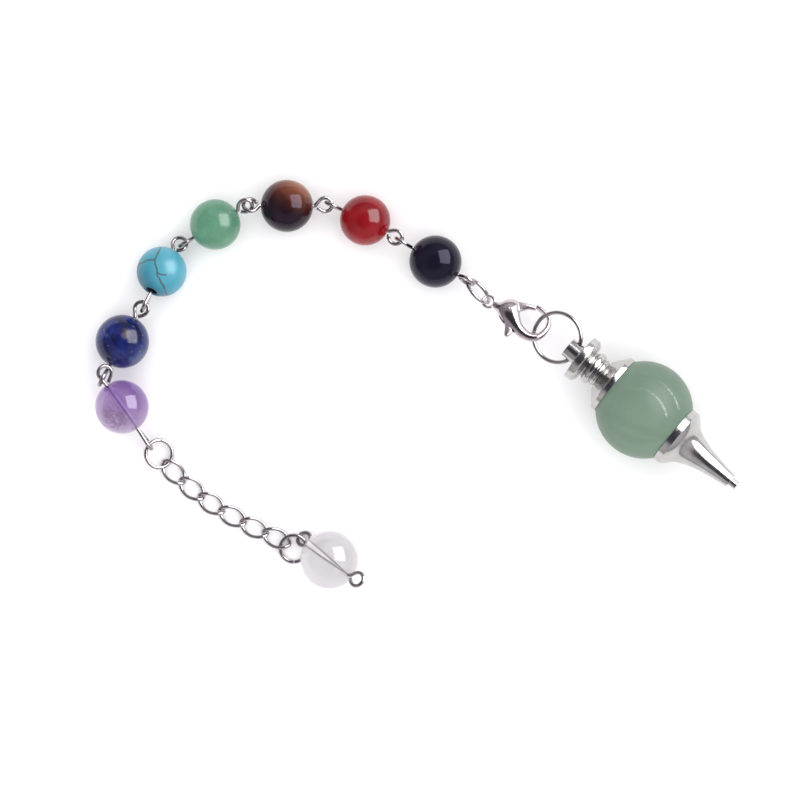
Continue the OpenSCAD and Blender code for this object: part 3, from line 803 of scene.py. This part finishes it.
def amethyst_stone():
    """Amethyst: clear quartz in zones from violet to pale grey, with smoky wisps, polished to glass."""
    material, tree, where = bead_material("amethyst", "amethyst polished")
    waves = put(tree, "TexNoise", {
        "Vector": where, "Scale": 1 / 2.6, "Detail": 4, "Roughness": 0.55, "Distortion": 0.5,
    })
    zones = banded(tree, where, in_bead("amethyst", (0.42, 0.86, 0.25)), waves, 4.0, -1.6, 6.0, [
        (0.0, "#E2D8E5"), (0.35, "#D3C2DC"), (0.65, "#B597CF"), (1.0, "#9F7AC4"),
    ])
    wisps = mottled(tree, where, 1.5, [(0.4, 0), (0.5, 0.9), (0.6, 0)], 5, 0.62, 1.6)
    low = spot(tree, where, "amethyst", (-0.35, -0.55, 1), 1.6, 3.0, 0.8)
    colour = stained(tree, zones, "#75637E", wisps, low)
    return close_material(material, {
        "Base Color": colour, "Roughness": 0.05, "IOR": QUARTZ_IOR, "Transmission Weight": 0.75,
    })


def quartz_stone():
    """Rock crystal with a milky veil: nearly clear, polished, with white clouds."""
    material, tree, where = bead_material("quartz", "rock crystal polished")
    clouds = mottled(tree, where, 2.4, [(0.3, "#E8E5E7"), (0.55, "#EFECEE"), (0.75, "#F6F5F5")], 5, 0.6, 0.8)
    return close_material(material, {
        "Base Color": clouds, "Roughness": 0.05, "IOR": QUARTZ_IOR, "Transmission Weight": 0.75,
    })


def lapis_stone():
    """Lapis lazuli: deep blue with darker clouds, grey white calcite, specks of pyrite, and painted light and
    shade.
    """
    material, tree, where = bead_material("lapis", "lapis lazuli polished")
    blue = mottled(tree, where, 2.2, [(0.3, "#0B0F2E"), (0.5, "#151D56"), (0.72, "#202F76")], 5, 0.55, 0.5)
    calcite = mottled(tree, where, 2.6, [(0.58, 0), (0.74, 0.5)], 6, 0.62, 1.4)
    colour = stained(tree, blue, "#5F668C", calcite)
    # Painted highlight, painted light and painted shade, each a soft patch toward one side of the bead.
    for shade, toward, inner, outer, wander, strength in LAPIS_PAINTED_LIGHT:
        splotch = spot(tree, where, "lapis", toward, inner, outer, wander)
        colour = stained(tree, colour, shade, splotch, strength)
    grains = put(tree, "TexVoronoi", {"Vector": where, "Scale": 1 / 0.55})
    specks = put(tree, "ValToRGB", {"Fac": grains}, stops=[(0.1, 1), (0.16, 0)])
    patches = mottled(tree, where, 1.6, [(0.52, 0), (0.6, 1)], 2)
    gold = stained(tree, colour, "#A08A5A", specks, patches)
    return close_material(material, {
        "Base Color": gold, "Roughness": 0.12, "IOR": 1.5, "Specular IOR Level": 0.34,
    })


def turquoise_stone():
    """Dyed howlite: light blue with a net of brown veins, polished like porcelain, with painted light and
    shade.
    """
    material, tree, where = bead_material("turquoise", "dyed howlite polished")
    upright = pattern(tree, bead_place("turquoise").translation)
    waves = put(tree, "TexNoise", {"Vector": where, "Scale": 1 / 2.6, "Detail": 3})
    # Painted light and shade: the blue runs from dark at the lower left to light at the upper right.
    colour = banded(tree, upright, (0.72, 0.6, 0.2), waves, 2.0, -3.0, 4.6, [
        (0.0, "#194F65"), (0.45, "#3D8DA2"), (1.0, "#55A9BE"),
    ])
    parts = put(tree, "SeparateXYZ", {"Vector": strayed(tree, upright, where, 0.9, 0.7)})
    # A ramp holds 0 to 1, so a vein's places, from -5 to 5 mm, are squeezed into that and stretched again.
    reach = 5
    for along, across, low, high, places in TURQUOISE_VEINS:
        share = put(tree, "MapRange", {"Value": (parts, along), "From Min": low, "From Max": high})
        squeezed = put(tree, "ValToRGB", {"Fac": share}, stops=[
            (i / (len(places) - 1), (v + reach) / (2 * reach)) for i, v in enumerate(places)
        ])
        line_at = put(tree, "Math", {0: squeezed, 1: 2 * reach, 2: -reach}, operation="MULTIPLY_ADD")
        line = thin_line(tree, (parts, across), line_at, [(0.06, 0.85), (0.19, 0)])
        middle, half = (low + high) / 2, (high - low) / 2
        inside = put(tree, "Math", {0: (parts, along), 1: middle, 2: half}, operation="COMPARE")
        colour = stained(tree, colour, "#4A4636", line, inside)
    return close_material(material, {
        "Base Color": colour, "Roughness": 0.32, "IOR": 1.52, "Specular IOR Level": 0.42,
    })


def aventurine_stone():
    """Green aventurine: mottled soft green quartz with pale grains, polished."""
    material, tree, where = bead_material("aventurine", "green aventurine polished")
    green = mottled(tree, where, 2.4, [(0.3, "#528369"), (0.5, "#58896E"), (0.72, "#629478")], 5, 0.6, 0.4)
    grains = mottled(tree, where, 0.28, [(0.55, 0), (0.75, 0.3)], 2, 0.6)
    return close_material(material, {
        "Base Color": stained(tree, green, "#78A58B", grains), "Roughness": 0.2, "IOR": QUARTZ_IOR,
        "Specular IOR Level": 0.36, "Subsurface Weight": 0.2, "Subsurface Radius": (0.6, 1.0, 0.7),
        "Subsurface Scale": MM,
    })


def tiger_eye_stone():
    """Tiger eye: silky golden bands of fine fibres in near black brown, polished, with painted light."""
    material, tree, where = bead_material("tiger_eye", "tiger eye polished")
    fibres = put(tree, "Mapping", {"Vector": where, "Rotation": (0, 0, -0.2), "Scale": (0.1, 1, 1)})
    waves = put(tree, "TexNoise", {
        "Vector": fibres, "Scale": 1 / 1.6, "Detail": 6, "Roughness": 0.62, "Distortion": 0.6,
    })
    # Real bands and painted light in one ramp: near black at the lower left, golden toward the lit upper
    # right.
    bands_and_painted_light = banded(tree, where, in_bead("tiger_eye", (0.42, 0.8, 0.3)), waves, 3.0, 0.1, 6.2, [
        (0.0, "#180F1B"), (0.3, "#20131A"), (0.52, "#3F1E18"), (0.76, "#6F3B28"), (0.97, "#A36C4A"),
    ])
    silk = mottled(tree, fibres, 0.5, [(0.3, 0.82), (0.7, 1.12)], 3, 0.6)
    sheen = put(tree, "Mix", {0: 1.0, 6: bands_and_painted_light, 7: silk}, data_type="RGBA", blend_type="MULTIPLY")
    return close_material(material, {
        "Base Color": sheen, "Roughness": 0.12, "IOR": QUARTZ_IOR, "Specular IOR Level": 0.28,
        "Specular Tint": srgb("#D8CBE4"),
    })


def carnelian_stone():
    """Red carnelian, heat treated and polished: deep even red that glows at its rim."""
    material, tree, where = bead_material("carnelian", "red carnelian polished")
    red = mottled(tree, where, 3.0, [(0.3, "#7A0D15"), (0.55, "#88121A"), (0.75, "#96191F")], 4, 0.5, 0.3)
    return close_material(material, {
        "Base Color": red, "Roughness": 0.12, "IOR": QUARTZ_IOR, "Specular IOR Level": 0.3,
        "Subsurface Weight": 0.35, "Subsurface Radius": (1.0, 0.25, 0.2), "Subsurface Scale": 1.2 * MM,
    })


def obsidian_stone():
    """Obsidian: volcanic glass, near black with a cold tint, polished to a mirror gloss."""
    material, tree, where = bead_material("obsidian", "obsidian polished")
    black = mottled(tree, where, 2.5, [(0.35, "#14121F"), (0.7, "#191726")], 3)
    return close_material(material, {
        "Base Color": black, "Roughness": 0.1, "IOR": 1.5, "Specular IOR Level": 0.25,
        "Specular Tint": srgb("#D2CDEE"),
    })


STONES = {
    "quartz": quartz_stone, "amethyst": amethyst_stone, "lapis": lapis_stone, "turquoise": turquoise_stone,
    "aventurine": aventurine_stone, "tiger_eye": tiger_eye_stone, "carnelian": carnelian_stone,
    "obsidian": obsidian_stone,
}


# Settings


def millimetres(name, description, default):
    """A size that a user may change."""
    return bpy.props.FloatProperty(
        name=name, description=f"{description}, in millimetres", default=default, min=0.01,
    )


class StrandSettings(bpy.types.PropertyGroup):
    """Sizes of the strand's wire and links."""

    pin_wire: millimetres("Pin Wire", "Thickness of the wire of the looped pins", 0.62)
    loop_radius: millimetres("Loop Radius", "Radius of a loop at the middle of its wire", 1.12)
    neck_radius: millimetres("Neck Radius", "Radius of the bend where a loop leaves its pin", 0.45)
    ring_wire: millimetres("Ring Wire", "Thickness of the wire of the jump rings", 0.62)
    ring_cut: millimetres("Ring Cut", "Width of the cut in a jump ring", 0.1)
    link_wire: millimetres("Link Wire", "Thickness of the wire of the curb links", 0.58)
    link_length: millimetres("Link Length", "Length of a link at the middle of its wire", 4.68)
    link_width: millimetres("Link Width", "Width of a link at the middle of its wire", 2.8)
    link_twist: bpy.props.FloatProperty(
        name="Link Twist", description="Turn of each end of a link", subtype="ANGLE", default=radians(45),
    )
    bore: millimetres("Bead Hole", "Diameter of the hole through a bead", 0.7)


class DropSettings(bpy.types.PropertyGroup):
    """Sizes of the drop and its ring."""

    post: millimetres("Post", "Diameter of the post at the top", 3.24)
    disc: millimetres("Disc", "Diameter of the thin disc", 7.8)
    collar: millimetres("Collar", "Diameter of the rounded bead under the disc", 5.58)
    skirt: millimetres("Skirt", "Diameter of the rim above the ball", 10.2)
    cup: millimetres("Cup", "Diameter of the rim below the ball", 10.04)
    spike: millimetres("Spike", "Length of the spike below its cup", 10.5)
    spike_end: millimetres("Spike End", "Diameter of the spike at its lower end", 2.32)
    tip: millimetres("Tip", "Diameter of the short pin at the tip", 1.44)
    ring: millimetres("Large Ring", "Outer diameter of the large ring", 8.66)
    ring_wire: millimetres("Large Ring Wire", "Thickness of the large ring's wire", 0.66)


class ClaspSettings(bpy.types.PropertyGroup):
    """Sizes of the clasp."""

    eye: millimetres("Eye", "Outer diameter of the eye", 2.34)
    eye_wire: millimetres("Eye Wire", "Thickness of the eye", 0.42)
    lever_thickness: millimetres("Lever", "Thickness of the lever", 0.8)


class StageSettings(bpy.types.PropertyGroup):
    """The table and the light."""

    table_colour: bpy.props.FloatVectorProperty(
        name="Table", description="Colour of the table top", subtype="COLOR", size=4, min=0, max=1,
        default=srgb("#FAFAFA"),
    )
    key_power: bpy.props.FloatProperty(
        name="Key", description="Power of the soft key light", unit="POWER", default=5.4,
    )
    fill_power: bpy.props.FloatProperty(
        name="Fill", description="Power of the overhead fill light", unit="POWER", default=39.0,
    )


# Operators


class PENDANT_OT_beads(bpy.types.Operator):
    """Models the eight stone beads"""

    bl_idname = "pendant.beads"
    bl_label = "Stone Beads"

    def execute(self, context):
        narrow = (context.scene.pendant_strand.bore, 0.0)
        for name, stone in STONES.items():
            hole_d, hollow_d = WIDE_BORES.get(name, narrow)
            bm = drilled_bead(BEAD_DIAMETERS[name], hole_d, hollow_d)
            # The wall of the hole gets the second material.
            for face in bm.faces:
                face.material_index = int(face.calc_center_median().yz.length < hole_d / 2 + 0.01)
            piece = finish_piece(bm, f"{name}_stone", f"{name}_bead", stone(), bead_place(name))
            piece.data.materials.append(bore_wall(name))
        return {"FINISHED"}


class PENDANT_OT_pins(bpy.types.Operator):
    """Bends the looped pin through each bead"""

    bl_idname = "pendant.pins"
    bl_label = "Looped Pins"

    def execute(self, context):
        settings = context.scene.pendant_strand
        for name, (x, y, heading, _) in BEAD_LIES.items():
            metal = plated_metal(
                f"plated {name} pin wire", ("#9A9396", "#B4AEB0"), 0.15, (x, y, BEAD_LEVEL), heading, 0.6,
            )
            finish_piece(looped_pin(name, settings), f"{name}_wire", f"{name}_pin", metal, bead_place(name))
        return {"FINISHED"}


class PENDANT_OT_chain(bpy.types.Operator):
    """Bends the jump rings and the curb links"""

    bl_idname = "pendant.chain"
    bl_label = "Rings and Chain"

    def execute(self, context):
        settings = context.scene.pendant_strand
        metal = plated_metal("plated ring wire", ("#9E979A", "#B8B2B4"), 0.14, (0, 0, 0), 0, 0.6)
        for name in RING_LIES:
            bm = wire_ring(RING_DIAMETERS[name], settings.ring_wire, settings.ring_cut)
            finish_piece(bm, f"{name}_wire", name, metal, ring_place(name))
        chain_metal = plated_metal("plated link wire", ("#A39C9F", "#BDB7B9"), 0.13, (0, 0, 0), 0, 0.5)
        for i, (x, y, heading) in enumerate(LINK_LIES, 1):
            bm = curb_link(settings)
            lift = LINK_GAP - min(v.co.z for v in bm.verts)
            place = Matrix.Translation(SHIFT + Vector((x, y, lift))) @ turn(heading, "Z")
            finish_piece(bm, f"link_{i}_wire", f"link_{i}", chain_metal, place)
        return {"FINISHED"}


class PENDANT_OT_drop(bpy.types.Operator):
    """Models the ball, its turned caps, the hidden rod and the large ring"""

    bl_idname = "pendant.drop"
    bl_label = "Drop"

    def execute(self, context):
        settings = context.scene.pendant_drop
        place = drop_place()
        middle = place.translation
        metal = plated_metal("turned plated brass", ("#AFAEAC", "#BEBDBB"), 0.16, middle, DROP_HEADING, 0.9)
        finish_piece(drilled_bead(2 * BALL_R, BALL_BORE_D), "ball_stone", "ball", ball_stone(), place)
        for name, bm in (("upper_cap", upper_cap(settings)), ("lower_cap", lower_cap(settings))):
            finish_piece(bm, f"{name}_metal", name, metal, place, sharp=17, crisp=True)
        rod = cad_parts["ball_rod"].data
        rod.materials.clear()
        rod.materials.append(metal)
        wire = plated_metal("plated large ring wire", ("#A39E9E", "#B9B4B4"), 0.14, middle, 0, 0.6)
        ring = wire_ring(settings.ring, settings.ring_wire)
        finish_piece(ring, "large_ring_wire", "large_ring", wire, large_ring_place(settings))
        return {"FINISHED"}


class PENDANT_OT_clasp(bpy.types.Operator):
    """Models the lobster clasp, its lever and its rivet"""

    bl_idname = "pendant.clasp"
    bl_label = "Lobster Clasp"

    def execute(self, context):
        settings = context.scene.pendant_clasp
        place = clasp_place()
        metal = plated_metal(
            "cast plated clasp", ("#BAB0B4", "#CCC3C7"), 0.1, place.translation, CLASP_HEADING, 0.8,
        )
        finish_piece(clasp_body(settings), "clasp_hook", "clasp_body", metal, place, crisp=True)
        finish_piece(clasp_lever(settings), "clasp_gate", "clasp_lever", metal, place, LEVER, sharp=60)
        finish_piece(clasp_rivet(), "clasp_pin", "clasp_rivet", metal, place, crisp=True)
        return {"FINISHED"}


class PENDANT_OT_stage(bpy.types.Operator):
    """Sets up the table, the soft light and the camera straight above"""

    bl_idname = "pendant.stage"
    bl_label = "Stage"

    def execute(self, context):
        settings = context.scene.pendant_stage
        self.lay_table(context, settings)
        self.light_room(context)
        # The key makes the window-like highlights, and the fill lights the colours evenly.
        key = self.hang_light(context, "key", (0.33, 0.19, 0.34), 0.54, 0.46, settings.key_power, -24)
        key.visible_diffuse = False
        fill = self.hang_light(context, "fill", (0, 0, 1.0), 3.0, 3.0, settings.fill_power)
        fill.visible_glossy = False
        self.set_camera(context)
        context.scene.view_settings.view_transform = "Standard"
        return {"FINISHED"}

    def lay_table(self, context, settings):
        """Lays a matt white sheet under the pendant."""
        bm = bmesh.new()
        bmesh.ops.create_grid(bm, x_segments=1, y_segments=1, size=2.0)
        mesh = bpy.data.meshes.new("table_top")
        bm.to_mesh(mesh)
        bm.free()
        table = bpy.data.objects.new("table_top", mesh)
        context.scene.collection.objects.link(table)
        material, _ = new_material("matt white table")
        mesh.materials.append(close_material(material, {
            "Base Color": tuple(settings.table_colour), "Roughness": 0.9, "Specular IOR Level": 0.1,
        }))

    def light_room(self, context):
        """A white room, dark straight overhead, and dim on the upper left so the stones are deep there."""
        world = bpy.data.worlds.new("white room")
        context.scene.world = world
        world.use_nodes = True
        tree = world.node_tree
        tree.nodes.clear()
        way = (put(tree, "TexCoord"), "Generated")
        overhead = Vector((-0.05, -0.06, 1)).normalized()
        height = put(tree, "VectorMath", {0: way, 1: overhead}, operation="DOT_PRODUCT")
        walls = put(tree, "ValToRGB", {"Fac": height}, stops=[
            (0.0, "#C5C2C5"), (0.18, "#C2BFC2"), (0.36, "#E2DEE2"), (0.66, "#DDD8DD"),
            (0.79, "#BCB8BD"), (0.87, "#4F505A"), (1.0, "#484952"),
        ])
        side = put(tree, "VectorMath", {0: way, 1: (-0.9, 0.42, 0.1)}, operation="DOT_PRODUCT")
        dim = put(tree, "ValToRGB", {"Fac": side}, stops=[(0.3, 1), (0.8, 0.42)])
        room = put(tree, "Mix", {0: 1.0, 6: walls, 7: dim}, data_type="RGBA", blend_type="MULTIPLY")
        glow = put(tree, "Background", {"Color": room, "Strength": 1.0})
        put(tree, "OutputWorld", {"Surface": glow})

    def hang_light(self, context, name, where, width, height, power, roll=0):
        """Hangs a soft box that faces the pendant. Places and sizes are in metres, the roll in degrees."""
        lamp = bpy.data.lights.new(name, "AREA")
        lamp.shape = "RECTANGLE"
        lamp.size = width
        lamp.size_y = height
        lamp.energy = power
        light = bpy.data.objects.new(name, lamp)
        light.location = where
        light.rotation_mode = "QUATERNION"
        rolled = Matrix.Rotation(radians(roll), 3, "Z").to_quaternion()
        light.rotation_quaternion = Vector(where).to_track_quat("Z", "Y") @ rolled
        context.scene.collection.objects.link(light)
        return light

    def set_camera(self, context):
        """Looks straight down through a long lens, at the photo's scale."""
        lens = bpy.data.cameras.new("camera")
        lens.sensor_width = 36
        lens.lens = lens.sensor_width * CAMERA_UP / (PHOTO_SIDE * PIXEL * MM)
        lens.clip_start = 0.01
        lens.clip_end = 10
        camera = bpy.data.objects.new("camera", lens)
        across, down = (PHOTO_SIDE / 2 - v for v in PLACES_FROM)
        middle = Vector((across * PIXEL, -down * PIXEL, 0)) + SHIFT
        camera.location = (middle.x * MM, middle.y * MM, CAMERA_UP + BEAD_LEVEL * MM)
        context.scene.collection.objects.link(camera)
        context.scene.camera = camera


class PENDANT_PT_sidebar(bpy.types.Panel):
    """Lists the pendant's pieces"""

    bl_label = "Pendulum Pendant"
    bl_idname = "PENDANT_PT_sidebar"
    bl_space_type = "VIEW_3D"
    bl_region_type = "UI"
    bl_category = "Pendant"

    def draw(self, context):
        for piece in OPERATORS:
            self.layout.operator(piece.bl_idname)
        for group, kind in SETTINGS.items():
            box = self.layout.box()
            for name in kind.__annotations__:
                box.prop(getattr(context.scene, group), name)


OPERATORS = (
    PENDANT_OT_beads, PENDANT_OT_pins, PENDANT_OT_chain, PENDANT_OT_drop, PENDANT_OT_clasp, PENDANT_OT_stage,
)
SETTINGS = {
    "pendant_strand": StrandSettings, "pendant_drop": DropSettings, "pendant_clasp": ClaspSettings,
    "pendant_stage": StageSettings,
}
CLASSES = (*SETTINGS.values(), *OPERATORS, PENDANT_PT_sidebar)


def register():
    for kind in CLASSES:
        bpy.utils.register_class(kind)
    for group, kind in SETTINGS.items():
        setattr(bpy.types.Scene, group, bpy.props.PointerProperty(type=kind))


def unregister():
    for group in SETTINGS:
        delattr(bpy.types.Scene, group)
    for kind in reversed(CLASSES):
        bpy.utils.unregister_class(kind)


def main():
    register()
    for piece in OPERATORS:
        group, name = piece.bl_idname.split(".")
        getattr(getattr(bpy.ops, group), name)()


if __name__ == "__main__":
    main()
